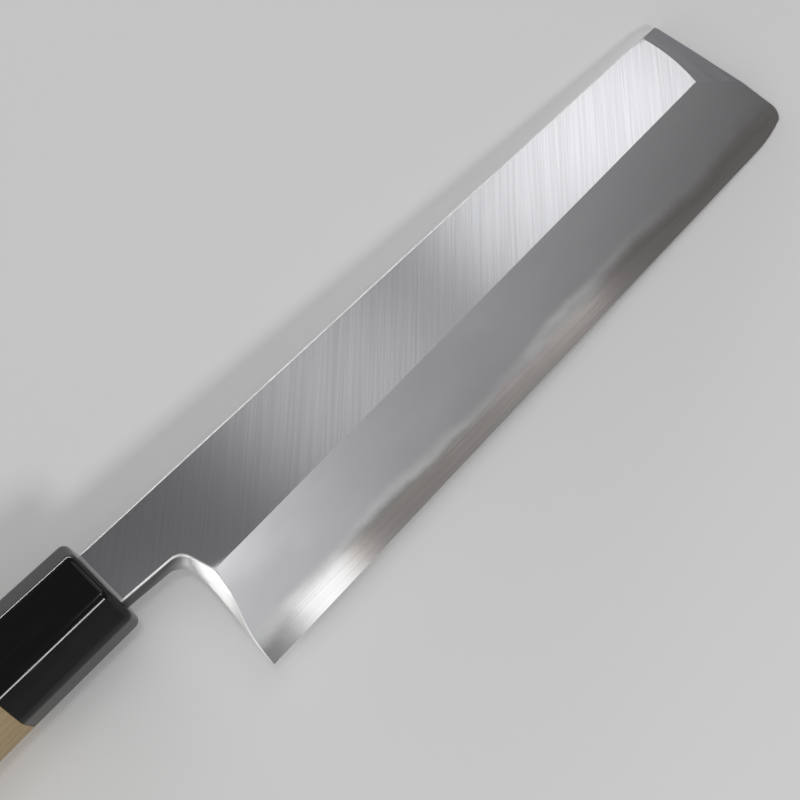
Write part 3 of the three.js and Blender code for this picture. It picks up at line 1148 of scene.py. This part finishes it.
# Floor, surroundings and lamps
studio = {
    "floorColour": (0.87, 0.87, 0.865, 1),
    "floorRough": 0.85,
    "floorWidth": 1.6,
    "floorFade": (0.28, 0.62),  # metres from its middle, where it melts into the surroundings
    "floorDrop": 0.0001,
    "wallColour": (0.6, 0.6, 0.6, 1),  # all round, near the horizon
    "wallTop": (0.12, 0.36),  # where the walls end and the ceiling begins
    "ceilingColour": (0.13, 0.13, 0.132, 1),
    "sunFrom": (-0.8, 0.1, 0.6),
    "sunSpread": 50,  # degrees
    "sunStrength": 0.5,
    # soft lamps, in millimetres on the knife: middle, the way it shines, width and height, brightness
    "softboxes": {
        "overTip": ((668, 205, 600), (0, 0, -1), (297, 220), 1.28),
        "overMiddle": ((467, 170, 600), (0, 0, -1), (105, 220), 1.02),
        "overBlade": ((245, 205, 600), (0, 0, -1), (195, 220), 0.53),
        "overHeel": ((100, -150, 600), (0, 0, -1), (66, 170), 1.12),
        "overNotch": ((40, -38, 600), (0, 0, -1), (60, 80), 13),
        "overBevel": ((325, -36, 600), (0, 0, -1), (290, 140), 0.67),
        "overEdge": ((420, -148, 600), (0, 0, -1), (540, 60), 0.05),
        "frontStrip": ((-100, -660, 470), (0, 0.8, -0.6), (240, 130), 15),
        "backStrip": ((275, 720, 75), (0, -1, 0), (850, 50), 20),
        "leftStrip": ((-650, -40, 110), (1, 0, 0), (540, 180), 3.6),
    },
    "wattsPerArea": 4,  # of a lamp with a brightness of 1, for each square metre
}


def plainFloor():
    sockets = {"Base Color": studio["floorColour"], "Roughness": studio["floorRough"]}
    material, tree, shader = newMaterial("plainFloor", **sockets)
    coordinates = addNode(tree, "ShaderNodeTexCoord")
    away = addNode(tree, "ShaderNodeVectorMath", {0: coordinates.outputs["Object"]}, operation="LENGTH")
    gone = spread(tree, away.outputs["Value"], *studio["floorFade"], 0, 1, "SMOOTHSTEP")
    clear = addNode(tree, "ShaderNodeBsdfTransparent")
    fading = addNode(tree, "ShaderNodeMixShader", {0: gone, 1: shader.outputs[0], 2: clear.outputs[0]})
    tree.links.new(fading.outputs[0], tree.nodes["Material Output"].inputs["Surface"])
    bm = bmesh.new()
    bmesh.ops.create_grid(bm, x_segments=1, y_segments=1, size=studio["floorWidth"] / 2)
    mesh = bpy.data.meshes.new("floor")
    bm.to_mesh(mesh)
    bm.free()
    mesh.materials.append(material)
    floor = bpy.data.objects.new("floor", mesh)
    floor.location = ((cadLow[0] + cadHigh[0]) / 2, (cadLow[1] + cadHigh[1]) / 2, -studio["floorDrop"])
    bpy.context.scene.collection.objects.link(floor)


def surroundings():
    world = bpy.data.worlds.new("studio")
    world.use_nodes = True
    bpy.context.scene.world = world
    tree = world.node_tree
    coordinates = addNode(tree, "ShaderNodeTexCoord")
    height = splitPlace(tree, coordinates.outputs["Generated"])[2]
    up = spread(tree, height, *studio["wallTop"], 0, 1, "SMOOTHSTEP")
    colour = blendColours(tree, up, studio["wallColour"], studio["ceilingColour"])
    tree.links.new(colour, tree.nodes["Background"].inputs["Color"])


def lamps():
    for name, (spot, shine, size, brightness) in studio["softboxes"].items():
        light = bpy.data.lights.new(name, "AREA")
        light.shape = "RECTANGLE"
        light.size = size[0] * placing["metresPerUnit"]
        light.size_y = size[1] * placing["metresPerUnit"]
        light.energy = studio["wattsPerArea"] * light.size * light.size_y * brightness
        lamp = bpy.data.objects.new(name, light)
        lamp.location = knifeToFrame @ Vector(spot)
        lamp.rotation_euler = Vector(shine).to_track_quat("-Z", "Y").to_euler()
        lamp.visible_camera = False
        bpy.context.scene.collection.objects.link(lamp)
    sun = bpy.data.lights.new("softSun", "SUN")
    sun.angle = math.radians(studio["sunSpread"])
    sun.energy = studio["sunStrength"]
    lamp = bpy.data.objects.new("softSun", sun)
    lamp.rotation_euler = Vector(studio["sunFrom"]).to_track_quat("Z", "Y").to_euler()
    bpy.context.scene.collection.objects.link(lamp)


plainFloor()
surroundings()
lamps()
bpy.context.scene.view_settings.view_transform = "Standard"
print("studio lit")
